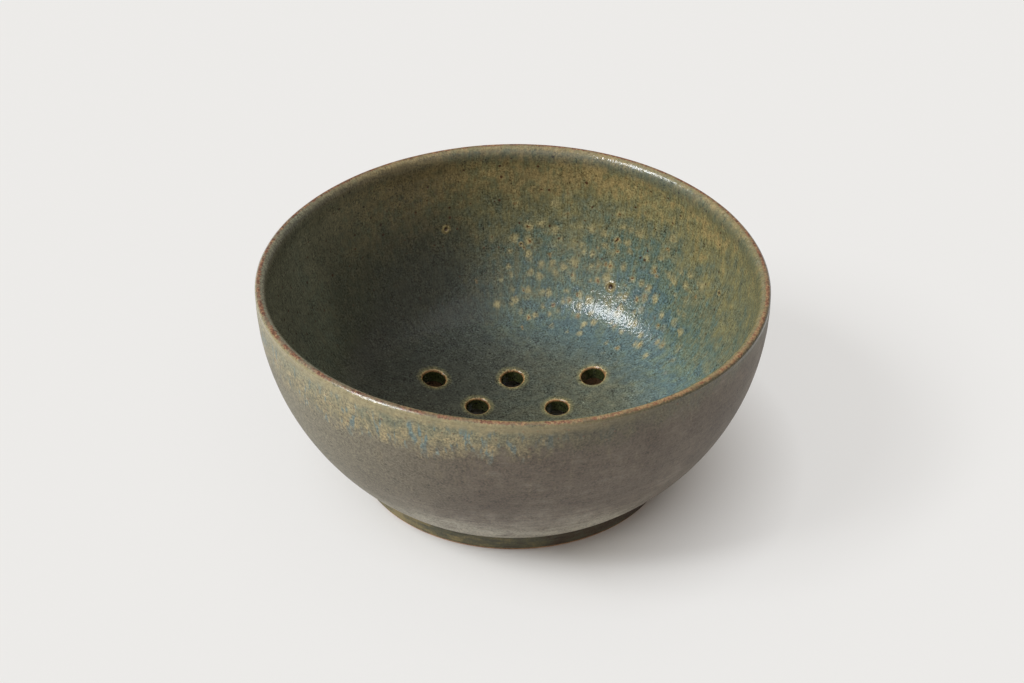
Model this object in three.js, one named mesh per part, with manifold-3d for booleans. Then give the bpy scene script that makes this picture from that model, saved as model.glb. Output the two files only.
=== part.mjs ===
// Stoneware berry bowl: a thrown bowl with a pierced, dished floor, on a foot ring, under coats of glaze.
// Millimetres, +Z up. The origin is on the table, below the middle of the bowl.
import * as THREE from "three";
import { mergeVertices } from "three/addons/utils/BufferGeometryUtils.js";
import Module from "manifold-3d";

// Whole bowl. Sizes are those of the glazed surfaces.
const BOWL_HEIGHT = 73.8; // table to the highest part of the lip
const OUTER_RADIUS = 83; // the outer wall is a round bowl of this radius
const GLAZE = 0.5; // thickness of every coat

// Wall and lip
const WALL_AT_LIP = 3.6;
const WALL_AT_BASE = 4.8;
const LIP_THICKNESS = 4;
const LIP_EDGE = 1.1; // round on the outer edge of the lip; the inner one takes the rest
const LIP_DEPTH = 8; // crest to where the lip runs into the inner wall
const RIM_BAND = 13; // how far the second dip reaches down the outside

// Floor
const FLOOR_DISH = 190; // radius of the floor's hollow
const FLOOR_THICKNESS = 4.5;
const FLOOR_CLEARANCE = 4.5; // table to the underside, in the middle
const CORNER_RADIUS = 20; // hollow round between floor and wall

// Foot
const FOOT_RADIUS = 51.6;
const FOOT_WIDTH = 7;
const FOOT_HEIGHT = 6;
const FOOT_CHAMFER = 0.8;
const FOOT_OVERHANG = 1.2; // how far the wall stands out over the foot
const FOOT_BARE_EDGE = 1.2; // unglazed strip above the table

// Drain holes: long rows of three and short rows of two, by turns
const HOLE_RADIUS = 3.9;
const HOLE_MARGIN = 1.4; // clay between the corner holes and the inside of the foot
const SHORT_ROW_DRIFT = 1.5; // the short rows were punched a little to the right

const STEPS_AROUND = 48;
const HOLE_STEPS = 12;

// Derived sizes
const INNER_RADIUS = OUTER_RADIUS - WALL_AT_LIP;
const FLOOR_TOP = FLOOR_CLEARANCE + FLOOR_THICKNESS;
const FOOT_CLAY_RADIUS = FOOT_RADIUS - GLAZE;
const FOOT_INNER = FOOT_RADIUS - FOOT_WIDTH;
const JOINT_RADIUS = FOOT_RADIUS + FOOT_OVERHANG;
const HOLE_CLAY_RADIUS = HOLE_RADIUS + GLAZE;
const HOLE_PITCH = (FOOT_INNER - HOLE_MARGIN - HOLE_CLAY_RADIUS) / Math.SQRT2;

// Centres of the round sections, as (distance from the axis, height)
const outerCentre = new THREE.Vector2(0, FOOT_HEIGHT + Math.sqrt(OUTER_RADIUS ** 2 - JOINT_RADIUS ** 2));
const innerCentre = new THREE.Vector2(0, outerCentre.y + WALL_AT_BASE - WALL_AT_LIP);
const dishCentre = new THREE.Vector2(0, FLOOR_TOP + FLOOR_DISH);

// The corner's centre lies where its round touches both the dish and the inner wall.
const dishReach = FLOOR_DISH - CORNER_RADIUS;
const wallReach = INNER_RADIUS - CORNER_RADIUS;
const cornerHeight =
  (dishReach ** 2 - wallReach ** 2 - dishCentre.y ** 2 + innerCentre.y ** 2) / (2 * (innerCentre.y - dishCentre.y));
const cornerOut = Math.sqrt(wallReach ** 2 - (cornerHeight - innerCentre.y) ** 2);
const cornerCentre = new THREE.Vector2(cornerOut, cornerHeight);

// The lip has a small round outside and a larger one inside, which meet at the crest.
const lipAngle = Math.asin((BOWL_HEIGHT - LIP_EDGE - outerCentre.y) / (OUTER_RADIUS - LIP_EDGE));
const crestOut = (OUTER_RADIUS - LIP_EDGE) * Math.cos(lipAngle);
const lipInnerRound = LIP_THICKNESS - LIP_EDGE;
const lipOuterCentre = new THREE.Vector2(crestOut, BOWL_HEIGHT - LIP_EDGE);
const lipInnerCentre = new THREE.Vector2(crestOut, BOWL_HEIGHT - lipInnerRound);

// Angles at which one section hands over to the next, from the horizontal
const bandAngle = Math.asin((BOWL_HEIGHT - RIM_BAND - outerCentre.y) / OUTER_RADIUS);
const dishAngle = Math.atan2(cornerHeight - dishCentre.y, cornerOut);
const cornerAngle = Math.atan2(cornerHeight - innerCentre.y, cornerOut);
const wallTopAngle = Math.asin((BOWL_HEIGHT - LIP_DEPTH - innerCentre.y) / INNER_RADIUS);
const DOWN = -Math.PI / 2;
const UP = Math.PI / 2;
const ON_AXIS = 1e-6;

function onRound(centre, radius, angle) {
  return new THREE.Vector2(centre.x + radius * Math.cos(angle), centre.y + radius * Math.sin(angle));
}

// Points of a round section, both ends included.
function arc(centre, radius, from, to, steps) {
  const points = [];
  for (let i = 0; i <= steps; i++) points.push(onRound(centre, radius, from + ((to - from) * i) / steps));
  return points;
}

// Each curve below is drawn for the glazed surface or, with inset = GLAZE, for the clay under it.
function outerWall(inset) {
  const radius = OUTER_RADIUS - inset;
  const footAngle = Math.asin((FOOT_HEIGHT - outerCentre.y) / radius);
  return arc(outerCentre, radius, footAngle, bandAngle, 6);
}

function lip(inset) {
  return [
    ...arc(outerCentre, OUTER_RADIUS - inset, bandAngle, lipAngle, 2),
    ...arc(lipOuterCentre, LIP_EDGE - inset, lipAngle, UP, 2).slice(1),
    ...arc(lipInnerCentre, lipInnerRound - inset, UP, Math.PI, 3).slice(1),
    onRound(innerCentre, INNER_RADIUS + inset, wallTopAngle),
  ];
}

function inside(inset) {
  return [
    ...arc(dishCentre, FLOOR_DISH + inset, DOWN, dishAngle, 3),
    ...arc(cornerCentre, CORNER_RADIUS + inset, dishAngle, cornerAngle, 3).slice(1),
    ...arc(innerCentre, INNER_RADIUS + inset, cornerAngle, wallTopAngle, 5).slice(1),
  ];
}

function underside(inset) {
  const radius = FLOOR_DISH + FLOOR_THICKNESS - inset;
  return arc(dishCentre, radius, DOWN, -Math.acos(FOOT_INNER / radius), 3);
}

// A turned solid. Its outline runs up the outer side; one that isn't closed by the axis closes on itself.
function turned(outline) {
  const ends = Math.max(outline[0].x, outline[outline.length - 1].x);
  const closed = ends < ON_AXIS ? outline : [...outline, outline[0]];
  return new THREE.LatheGeometry(closed, STEPS_AROUND).rotateX(UP);
}

const wasm = await Module();
wasm.setup();

function toSolid(geometry) {
  const bare = new THREE.BufferGeometry().setIndex(geometry.index);
  bare.setAttribute("position", geometry.getAttribute("position"));
  const merged = mergeVertices(bare, 1e-3);
  return new wasm.Manifold(
    new wasm.Mesh({
      numProp: 3,
      vertProperties: merged.getAttribute("position").array,
      triVerts: new Uint32Array(merged.index.array),
    }),
  );
}

function toGeometry(solid) {
  const mesh = solid.getMesh();
  const geometry = new THREE.BufferGeometry();
  geometry.setAttribute("position", new THREE.BufferAttribute(mesh.vertProperties, mesh.numProp));
  geometry.setIndex(new THREE.BufferAttribute(mesh.triVerts, 1));
  return geometry;
}

// Five rows of holes, half a pitch apart, as one solid of round pins through the floor.
function pins(radius) {
  const length = BOWL_HEIGHT;
  const all = [];
  for (let row = -2; row <= 2; row++) {
    const short = row % 2 !== 0;
    const count = short ? 2 : 3;
    for (let i = 0; i < count; i++) {
      const x = (i - (count - 1) / 2) * HOLE_PITCH + (short ? SHORT_ROW_DRIFT : 0);
      const pin = new THREE.CylinderGeometry(radius, radius, length, HOLE_STEPS);
      pin.rotateX(UP).translate(x, (row * HOLE_PITCH) / 2, 0);
      all.push(toSolid(pin));
    }
  }
  return wasm.Manifold.union(all);
}

const clayPins = pins(HOLE_CLAY_RADIUS);
const bores = pins(HOLE_RADIUS);

const bodyOutline = [
  ...underside(GLAZE),
  new THREE.Vector2(FOOT_INNER, FOOT_HEIGHT),
  ...outerWall(GLAZE),
  ...lip(GLAZE).slice(1),
  ...inside(GLAZE).reverse().slice(1),
];
const bowlBody = toSolid(turned(bodyOutline)).subtract(clayPins);

const footRing = turned([
  new THREE.Vector2(FOOT_INNER, FOOT_HEIGHT),
  new THREE.Vector2(FOOT_INNER, FOOT_CHAMFER),
  new THREE.Vector2(FOOT_INNER + FOOT_CHAMFER, 0),
  new THREE.Vector2(FOOT_CLAY_RADIUS - FOOT_CHAMFER, 0),
  new THREE.Vector2(FOOT_CLAY_RADIUS, FOOT_CHAMFER),
  new THREE.Vector2(FOOT_CLAY_RADIUS, FOOT_HEIGHT),
]);

// The inside coat lines each drain hole down to the underside of the clay.
const insideCoat = toSolid(turned([...inside(GLAZE), ...inside(0).reverse()]));
const floorGlazed = arc(dishCentre, FLOOR_DISH, DOWN, -Math.acos(FOOT_INNER / FLOOR_DISH), 3);
const floorPlug = toSolid(turned([...underside(GLAZE), ...floorGlazed.reverse()]));
const linings = floorPlug.intersect(clayPins);
const insideGlaze = insideCoat.add(linings).subtract(bores);

const rimGlaze = turned([...lip(0), ...lip(GLAZE).reverse()]);
const outsideGlaze = turned([...outerWall(0), ...outerWall(GLAZE).reverse()]);
const undersideGlaze = toSolid(turned([...underside(0), ...underside(GLAZE).reverse()])).subtract(bores);

const footGlaze = turned([
  new THREE.Vector2(FOOT_CLAY_RADIUS, FOOT_BARE_EDGE),
  new THREE.Vector2(FOOT_RADIUS, FOOT_BARE_EDGE),
  new THREE.Vector2(FOOT_RADIUS, FOOT_HEIGHT),
  new THREE.Vector2(FOOT_CLAY_RADIUS, FOOT_HEIGHT),
]);

const finish = (color, roughness) => new THREE.MeshStandardMaterial({ color, roughness, metalness: 0 });
const clay = finish(0x9a7458, 0.85);
const poolingGlaze = finish(0x4c5f5c, 0.3);
const rimTan = finish(0x93875f, 0.4);
const outsideMatt = finish(0x7b746a, 0.6);
const footGreen = finish(0x5d5b43, 0.5);
const undersideGreen = finish(0x556059, 0.45);

const bowl = new THREE.Group();
bowl.name = "berry_bowl";

function addPiece(name, geometry, material) {
  const mesh = new THREE.Mesh(geometry, material);
  mesh.name = name;
  bowl.add(mesh);
}

addPiece("bowl_body", toGeometry(bowlBody), clay);
addPiece("foot_ring", footRing, clay);
addPiece("inside_glaze", toGeometry(insideGlaze), poolingGlaze);
addPiece("rim_glaze", rimGlaze, rimTan);
addPiece("outside_glaze", outsideGlaze, outsideMatt);
addPiece("foot_glaze", footGlaze, footGreen);
addPiece("underside_glaze", toGeometry(undersideGlaze), undersideGreen);

export default bowl;
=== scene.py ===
import math
from functools import partial
from types import SimpleNamespace

import bmesh
import bpy
import numpy as np
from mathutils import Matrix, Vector
from mathutils.geometry import delaunay_2d_cdt


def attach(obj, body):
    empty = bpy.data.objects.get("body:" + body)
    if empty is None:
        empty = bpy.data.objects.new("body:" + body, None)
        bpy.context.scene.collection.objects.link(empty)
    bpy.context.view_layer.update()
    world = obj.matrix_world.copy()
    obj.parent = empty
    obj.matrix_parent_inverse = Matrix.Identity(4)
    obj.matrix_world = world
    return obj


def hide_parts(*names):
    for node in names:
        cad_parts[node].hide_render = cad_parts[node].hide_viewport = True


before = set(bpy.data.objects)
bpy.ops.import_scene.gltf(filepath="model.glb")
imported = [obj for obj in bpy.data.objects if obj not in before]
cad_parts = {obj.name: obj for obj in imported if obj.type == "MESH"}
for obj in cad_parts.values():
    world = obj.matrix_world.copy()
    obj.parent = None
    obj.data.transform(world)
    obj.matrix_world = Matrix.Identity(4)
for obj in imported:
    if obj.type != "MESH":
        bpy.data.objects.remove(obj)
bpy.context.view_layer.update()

MM = 0.001

# Sizes in millimetres: the part's own, or a few tenths off to suit the uneven form of a bowl made by hand.
# Heights are above the table. The lip rises and falls, so its height here is the mean. Its highest place is
# just under the CAD model's height.
LIP_HEIGHT = 71.95
OUTER_RADIUS = 82.8
GLAZE = 0.5
WALL_AT_LIP = 3.6
WALL_AT_BASE = 4.8
LIP_THICKNESS = 4.0
LIP_EDGE = 1.0
LIP_FALL = 3.6
LIP_DEPTH = 8.0
RIM_BAND = 13.0
FLOOR_DISH = 190.0
FLOOR_THICKNESS = 4.5
FLOOR_TOP = 9.0
CORNER_RADIUS = 20.0
FOOT_RADIUS = 51.8
FOOT_WIDTH = 7.0
FOOT_HEIGHT = 6.0
FOOT_OVERHANG = 1.2
FOOT_BARE_EDGE = 1.0
FOOT_ROUND = 0.35
HOLE_RADIUS = 3.8
HOLE_ROUND = 0.9
HOLE_PITCH = 27.436
SHORT_ROW_DRIFT = 1.5

# The worn bevel outside the crest turns through these degrees, by rounds of these radii.
BEVEL_TURNS = (0, 30, 62, 90)
BEVEL_ROUNDS = (0.3, 2.1, 0.3)

# Where the outer wall turns under, over the foot: how high the turn begins, how far in it ends, and its tuck
TURN_HEIGHT = 0.7
TURN_WIDTH = 0.75
TURN_STEPS = 7
FOOT_TUCK = 0.1

# How the coats are drawn: thickness, steps round the bowl and each hole, and the spacing of floor points
COAT = 0.45
STEPS = 320
CLAY_STEPS = 120
HOLE_STEPS = 48
FLOOR_SPACING = 1.6
UNDERSIDE_SPACING = 2.0
UNDERSIDE_GAP = 0.05
# The floor coat meets the wall coat at this radius, and each hole's collar at the other.
FLOOR_EDGE = 47.0
COLLAR_RADIUS = 6.4
# The glaze changes within this distance of a hole.
HALO = 4.0
# Edges that turn by more than this stay sharp.
CREASE = math.radians(50)

INNER_RADIUS = OUTER_RADIUS - WALL_AT_LIP
FOOT_INNER = FOOT_RADIUS - FOOT_WIDTH
DOWN, UP = -math.pi / 2, math.pi / 2


def on_round(centre, radius, angle):
    return (centre[0] + radius * math.cos(angle), centre[1] + radius * math.sin(angle))


def arc(centre, radius, start, end, steps):
    return [on_round(centre, radius, start + (end - start) * i / steps) for i in range(steps + 1)]


# Centres of the round sections, as (distance from the axis, height)
joint_radius = FOOT_RADIUS + FOOT_OVERHANG
outer_centre = (0.0, FOOT_HEIGHT + math.sqrt(OUTER_RADIUS**2 - joint_radius**2))
inner_centre = (0.0, outer_centre[1] + WALL_AT_BASE - WALL_AT_LIP)
dish_centre = (0.0, FLOOR_TOP + FLOOR_DISH)
# The corner's round touches both the dish and the inner wall.
dish_reach = FLOOR_DISH - CORNER_RADIUS
wall_reach = INNER_RADIUS - CORNER_RADIUS
corner_height = (dish_reach**2 - wall_reach**2 - dish_centre[1] ** 2 + inner_centre[1] ** 2) / (
    2 * (inner_centre[1] - dish_centre[1])
)
corner_centre = (math.sqrt(wall_reach**2 - (corner_height - inner_centre[1]) ** 2), corner_height)

lip_angle = math.asin((LIP_HEIGHT - LIP_EDGE - outer_centre[1]) / (OUTER_RADIUS - LIP_EDGE))
band_angle = math.asin((LIP_HEIGHT - RIM_BAND - outer_centre[1]) / OUTER_RADIUS)
dish_angle = math.atan2(corner_height - dish_centre[1], corner_centre[0])
corner_angle = math.atan2(corner_height - inner_centre[1], corner_centre[0])
wall_top_angle = math.asin((LIP_HEIGHT - LIP_DEPTH - inner_centre[1]) / INNER_RADIUS)
crest_out = (OUTER_RADIUS - LIP_EDGE) * math.cos(lip_angle)
lip_inner_width = LIP_THICKNESS - LIP_EDGE


def wall_curve(inset, fine):
    """The outer wall from the foot up to the rim band."""
    radius = OUTER_RADIUS - inset
    start = math.asin((FOOT_HEIGHT - outer_centre[1]) / radius)
    return arc(outer_centre, radius, start, band_angle, 12 * fine)


def lip_curve(inset, fine):
    """From the rim band over the crest to the shallow groove under the lip, inside."""
    outside = arc(outer_centre, OUTER_RADIUS - inset, band_angle, lip_angle, 4 * fine)
    # Outside the crest the edge is worn to a soft bevel between two small rounds.
    over = [outside[-1]]
    for start, end, radius in zip(BEVEL_TURNS, BEVEL_TURNS[1:], BEVEL_ROUNDS):
        start, end = max(math.radians(start), lip_angle), math.radians(end)
        size = radius * (LIP_EDGE - inset) / LIP_EDGE
        centre = on_round(over[-1], -size, start)
        over += arc(centre, size, start, end, 2 * fine)[1:]
    # Inside the crest the lip rounds off in a quarter of an ellipse.
    steps = 3 * fine
    width, fall = lip_inner_width - inset, LIP_FALL - inset
    turns = [UP * i / steps for i in range(1, steps + 1)]
    under = [
        (crest_out - width * math.sin(turn), LIP_HEIGHT - LIP_FALL + fall * math.cos(turn)) for turn in turns
    ]
    # The lip's inner face swings out to meet the wall.
    low, high = on_round(inner_centre, INNER_RADIUS + inset, wall_top_angle), under[-1]
    swing = []
    for i in range(1, steps + 1):
        t = i / steps
        ease = t * t * (3 - 2 * t)
        swing.append((high[0] + (low[0] - high[0]) * ease, high[1] + (low[1] - high[1]) * t))
    return outside + over[1:] + under + swing


def inner_curve(inset, fine):
    """The inside from the lip down the wall and round the corner to the middle of the floor."""
    wall = arc(inner_centre, INNER_RADIUS + inset, wall_top_angle, corner_angle, 10 * fine)
    corner = arc(corner_centre, CORNER_RADIUS + inset, corner_angle, dish_angle, 4 * fine)
    floor = arc(dish_centre, FLOOR_DISH + inset, dish_angle, DOWN, 6 * fine)
    return wall + corner[1:] + floor[1:]


def dish(x, y, radius):
    """Height of the hollow floor at a place, or of its underside for a greater radius."""
    return dish_centre[1] - np.sqrt(radius**2 - np.square(x) - np.square(y))


# How far off true the maker set each hole, by its place in the list of centres, as (right, back)
HOLE_DRIFT = {
    1: (-0.4, 0.3),
    3: (0.3, -0.5),
    5: (-0.5, 0.4),
    6: (0.3, 0.2),
    7: (0.2, -0.6),
    8: (0.1, 0.1),
    9: (-0.3, -0.7),
    10: (0.4, -1.3),
    11: (-0.3, 0.9),
    12: (-0.1, -0.1),
}
# Holes that came out wider than the cutter, by their place in the list, as a share of the radius
HOLE_WIDENED = {12: 0.06}


def hole_centres():
    """Rows of three and two by turns, from front to back."""
    centres = []
    for row in range(-2, 3):
        short = row % 2 != 0
        count = 2 if short else 3
        for i in range(count):
            x = (i - (count - 1) / 2) * HOLE_PITCH + (SHORT_ROW_DRIFT if short else 0.0)
            right, back = HOLE_DRIFT.get(len(centres), (0.0, 0.0))
            centres.append((x + right, row * HOLE_PITCH / 2 + back))
    return centres


HOLES = hole_centres()


def linear(code):
    """An sRGB hex colour as the linear one that Blender takes."""
    parts = [int(code[i : i + 2], 16) / 255 for i in (1, 3, 5)]
    return tuple(c / 12.92 if c <= 0.04045 else ((c + 0.055) / 1.055) ** 2.4 for c in parts) + (1.0,)


def add(tree, kind, sockets=None, stops=None, **settings):
    """Adds one node with its settings, and sets or links the sockets given by name or number."""
    node = tree.nodes.new(kind)
    for key, value in settings.items():
        setattr(node, key, value)
    for key, value in (sockets or {}).items():
        if isinstance(key, int):
            socket = node.inputs[key]
        else:
            socket = next(s for s in node.inputs if s.name == key and s.enabled)
        if isinstance(value, bpy.types.Node):
            value = next(s for s in value.outputs if s.enabled)
        if isinstance(value, bpy.types.NodeSocket):
            tree.links.new(value, socket)
        else:
            socket.default_value = value
    if stops:
        ramp = node.color_ramp
        while len(ramp.elements) < len(stops):
            ramp.elements.new(1.0)
        for element, (place, code) in zip(ramp.elements, stops):
            element.position = place
            element.color = linear(code)
    return node


# Geometry Nodes


def new_tree(name, inputs):
    tree = bpy.data.node_groups.new(name, "GeometryNodeTree")
    tree.interface.new_socket("Geometry", in_out="INPUT", socket_type="NodeSocketGeometry")
    for label, kind in {**inputs, "Material": "NodeSocketMaterial"}.items():
        tree.interface.new_socket(label, in_out="INPUT", socket_type=kind)
    tree.interface.new_socket("Geometry", in_out="OUTPUT", socket_type="NodeSocketGeometry")
    return tree, add(tree, "NodeGroupInput").outputs


def end_tree(tree, given, geometry):
    """Ends a tree with a plain mesh in the material that it was given."""
    real = add(tree, "GeometryNodeRealizeInstances", {"Geometry": geometry})
    clad = add(tree, "GeometryNodeSetMaterial", {"Geometry": real, "Material": given["Material"]})
    add(tree, "NodeGroupOutput", {"Geometry": clad})
    return tree


def turned_tree():
    """Turns a section, a line of points in the XZ plane, about Z, and carries its from_crest measure over."""
    tree, given = new_tree("turned", {"Steps Around": "NodeSocketInt"})
    n = partial(add, tree)
    section = given["Geometry"]
    count = n("GeometryNodeAttributeDomainSize", {"Geometry": section}).outputs["Point Count"]
    around = n("ShaderNodeMath", {0: given["Steps Around"], 1: 1.0}, operation="ADD")
    sizes = {"Size X": 1.0, "Size Y": 1.0, "Vertices X": around, "Vertices Y": count}
    grid = n("GeometryNodeMeshGrid", sizes).outputs["Mesh"]
    # Across the grid is the way round the bowl, and along it the way along the section.
    split = n("ShaderNodeSeparateXYZ", {0: n("GeometryNodeInputPosition")}).outputs
    across = {"Value": split["X"], "From Min": -0.5, "From Max": 0.5, "To Max": 2 * math.pi}
    turn = n("ShaderNodeMapRange", across)
    last = n("ShaderNodeMath", {0: count, 1: 1.0}, operation="SUBTRACT")
    share = n("ShaderNodeMath", {0: split["Y"], 1: 0.5}, operation="ADD")
    row = n("ShaderNodeMath", {0: share, 1: last}, operation="MULTIPLY")
    row = n("ShaderNodeMath", {0: row}, operation="ROUND")
    measure = n("GeometryNodeInputNamedAttribute", {"Name": "from_crest"}, data_type="FLOAT")
    way = n(
        "GeometryNodeSampleIndex", {"Geometry": section, "Value": measure, "Index": row}, data_type="FLOAT"
    )
    point = n(
        "GeometryNodeSampleIndex",
        {"Geometry": section, "Value": n("GeometryNodeInputPosition"), "Index": row},
        data_type="FLOAT_VECTOR",
    )
    at = n("ShaderNodeSeparateXYZ", {0: point}).outputs
    cosine = n("ShaderNodeMath", {0: turn}, operation="COSINE")
    sine = n("ShaderNodeMath", {0: turn}, operation="SINE")
    x = n("ShaderNodeMath", {0: at["X"], 1: cosine}, operation="MULTIPLY")
    y = n("ShaderNodeMath", {0: at["X"], 1: sine}, operation="MULTIPLY")
    place = n("ShaderNodeCombineXYZ", {"X": x, "Y": y, "Z": at["Z"]})
    stored = n(
        "GeometryNodeStoreNamedAttribute",
        {"Geometry": grid, "Name": "from_crest", "Value": way},
        data_type="FLOAT",
        domain="POINT",
    )
    moved = n("GeometryNodeSetPosition", {"Geometry": stored, "Position": place})
    closed = n("GeometryNodeMergeByDistance", {"Geometry": moved, "Distance": 1e-6})
    return end_tree(tree, given, n("GeometryNodeSetShadeSmooth", {"Geometry": closed}))


def hand_tree():
    """Gives a turned form the thrower's hand: a lip that rises and falls, and an uneven wall."""
    sizes = ("Lip Height", "Tilt", "Tilt Turn", "Wave", "Wave Turn")
    sizes += ("Uneven", "Uneven Width", "Ripple", "Ripple Width", "Ring Depth", "Ring Pitch")
    tree, given = new_tree("hand_thrown", {size: "NodeSocketFloat" for size in sizes})
    n = partial(add, tree)
    position = n("GeometryNodeInputPosition")
    split = n("ShaderNodeSeparateXYZ", {0: position}).outputs
    flat = n("ShaderNodeCombineXYZ", {"X": split["X"], "Y": split["Y"]})
    out = n("ShaderNodeVectorMath", {0: flat}, operation="LENGTH").outputs["Value"]
    bearing = n("ShaderNodeVectorMath", {0: flat}, operation="NORMALIZE")
    turn = n("ShaderNodeMath", {0: split["Y"], 1: split["X"]}, operation="ARCTAN2")
    # Nothing moves on the floor's middle or at the foot, so the holes and the base stay true.
    away = n(
        "ShaderNodeMapRange",
        {"Value": out, "From Min": 30 * MM, "From Max": 70 * MM},
        interpolation_type="SMOOTHSTEP",
    )
    height = n("ShaderNodeMath", {0: split["Z"], 1: given["Lip Height"]}, operation="DIVIDE")
    share = n("ShaderNodeMath", {0: height, 1: away}, operation="MULTIPLY")
    # The lip tilts to one side, and dips twice in a turn.
    tilt = n("ShaderNodeMath", {0: turn, 1: given["Tilt Turn"]}, operation="SUBTRACT")
    tilt = n("ShaderNodeMath", {0: tilt}, operation="COSINE")
    tilt = n("ShaderNodeMath", {0: tilt, 1: given["Tilt"]}, operation="MULTIPLY")
    wave = n("ShaderNodeMath", {0: turn, 1: 2.0}, operation="MULTIPLY")
    wave = n("ShaderNodeMath", {0: wave, 1: given["Wave Turn"]}, operation="SUBTRACT")
    wave = n("ShaderNodeMath", {0: wave}, operation="COSINE")
    lift = n("ShaderNodeMath", {0: wave, 1: given["Wave"], 2: tilt}, operation="MULTIPLY_ADD")
    lift = n("ShaderNodeMath", {0: lift, 1: share}, operation="MULTIPLY")
    # The wall is uneven in wide places and narrow ones, with rings where the fingers rose.
    rough = 0.0
    for depth in ("Uneven", "Ripple"):
        scale = n("ShaderNodeMath", {0: 1.0, 1: given[depth + " Width"]}, operation="DIVIDE")
        noise = n("ShaderNodeTexNoise", {"Vector": position, "Scale": scale, "Detail": 1.0})
        noise = n("ShaderNodeMath", {0: noise, 1: 0.5}, operation="SUBTRACT")
        rough = n("ShaderNodeMath", {0: noise, 1: given[depth], 2: rough}, operation="MULTIPLY_ADD")
    ring = n("ShaderNodeMath", {0: split["Z"], 1: given["Ring Pitch"]}, operation="DIVIDE")
    ring = n("ShaderNodeMath", {0: ring, 1: 2 * math.pi, 2: turn}, operation="MULTIPLY_ADD")
    ring = n("ShaderNodeMath", {0: ring}, operation="SINE")
    rough = n("ShaderNodeMath", {0: ring, 1: given["Ring Depth"], 2: rough}, operation="MULTIPLY_ADD")
    rough = n("ShaderNodeMath", {0: rough, 1: share}, operation="MULTIPLY")
    sideways = n("ShaderNodeVectorMath", {0: bearing, "Scale": rough}, operation="SCALE")
    upwards = n("ShaderNodeCombineXYZ", {"Z": lift})
    shift = n("ShaderNodeVectorMath", {0: sideways, 1: upwards}, operation="ADD")
    moved = n("GeometryNodeSetPosition", {"Geometry": given["Geometry"], "Offset": shift})
    return end_tree(tree, given, moved)


def collar_tree():
    """Sets one turned collar on each point, a drain hole's centre, and lays it on the dish of the floor."""
    sizes = {"Dish Radius": "NodeSocketFloat", "Dish Centre": "NodeSocketFloat"}
    tree, given = new_tree("drain_collars", {"Collar": "NodeSocketObject", **sizes})
    n = partial(add, tree)
    collar = n("GeometryNodeObjectInfo", {"Object": given["Collar"]}).outputs["Geometry"]
    copies = n("GeometryNodeInstanceOnPoints", {"Points": given["Geometry"], "Instance": collar})
    copies = n("GeometryNodeRealizeInstances", {"Geometry": copies})
    split = n("ShaderNodeSeparateXYZ", {0: n("GeometryNodeInputPosition")}).outputs
    flat = n("ShaderNodeCombineXYZ", {"X": split["X"], "Y": split["Y"]})
    square = n("ShaderNodeVectorMath", {0: flat, 1: flat}, operation="DOT_PRODUCT").outputs["Value"]
    radius = n("ShaderNodeMath", {0: given["Dish Radius"], 1: 2.0}, operation="POWER")
    depth = n("ShaderNodeMath", {0: radius, 1: square}, operation="SUBTRACT")
    depth = n("ShaderNodeMath", {0: depth}, operation="SQRT")
    height = n("ShaderNodeMath", {0: given["Dish Centre"], 1: depth}, operation="SUBTRACT")
    shift = n("ShaderNodeCombineXYZ", {"Z": height})
    return end_tree(tree, given, n("GeometryNodeSetPosition", {"Geometry": copies, "Offset": shift}))


def pierced_tree():
    """Cuts a round pin's hole through a solid at each of the points of another object."""
    inputs = {"Holes": "NodeSocketObject", "Radius": "NodeSocketFloat", "Length": "NodeSocketFloat"}
    tree, given = new_tree("pierced", inputs)
    n = partial(add, tree)
    points = n("GeometryNodeObjectInfo", {"Object": given["Holes"]}).outputs["Geometry"]
    sizes = {"Vertices": 32, "Radius": given["Radius"], "Depth": given["Length"]}
    pin = n("GeometryNodeMeshCylinder", sizes).outputs["Mesh"]
    pins = n("GeometryNodeInstanceOnPoints", {"Points": points, "Instance": pin})
    pins = n("GeometryNodeRealizeInstances", {"Geometry": pins})
    cut = n(
        "GeometryNodeMeshBoolean",
        {"Mesh 1": given["Geometry"], "Mesh 2": pins},
        operation="DIFFERENCE",
        solver="EXACT",
    )
    return end_tree(tree, given, cut.outputs["Mesh"])


TURNED, HAND, COLLARS, PIERCED = turned_tree(), hand_tree(), collar_tree(), pierced_tree()

HAND_OF_THE_THROWER = {
    "Lip Height": LIP_HEIGHT * MM,
    "Tilt": 0.78 * MM,
    "Tilt Turn": math.radians(169),
    "Wave": 1.05 * MM,
    "Wave Turn": math.radians(137),
    "Uneven": 0.5 * MM,
    "Uneven Width": 45 * MM,
    "Ripple": 0.12 * MM,
    "Ripple Width": 9 * MM,
    "Ring Depth": 0.015 * MM,
    "Ring Pitch": 5.5 * MM,
}


# Meshes


def mesh_from(points, edges=(), faces=()):
    mesh = bpy.data.meshes.new("working")
    mesh.from_pydata([tuple(p) for p in points], edges, faces)
    return mesh


def shaped(mesh, *steps, wall=0.0):
    """The mesh after each Geometry Nodes tree with its named inputs, and then a wall's thickness if any."""
    obj = bpy.data.objects.new("working", mesh)
    for tree, values in steps:
        modifier = obj.modifiers.new(tree.name, "NODES")
        modifier.node_group = tree
        for item in tree.interface.items_tree:
            if item.in_out == "INPUT" and item.name in values:
                modifier[item.identifier] = values[item.name]
    if wall:
        skin = obj.modifiers.new("wall", "SOLIDIFY")
        skin.thickness = wall
        skin.offset = -1.0
        skin.use_even_offset = True
    bpy.context.scene.collection.objects.link(obj)
    bpy.context.view_layer.update()
    done = bpy.data.meshes.new_from_object(obj.evaluated_get(bpy.context.evaluated_depsgraph_get()))
    bpy.data.objects.remove(obj)
    return done


def way_along(points):
    steps = [math.dist(a, b) for a, b in zip(points, points[1:])]
    return np.concatenate([[0.0], np.cumsum(steps)])


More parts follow.
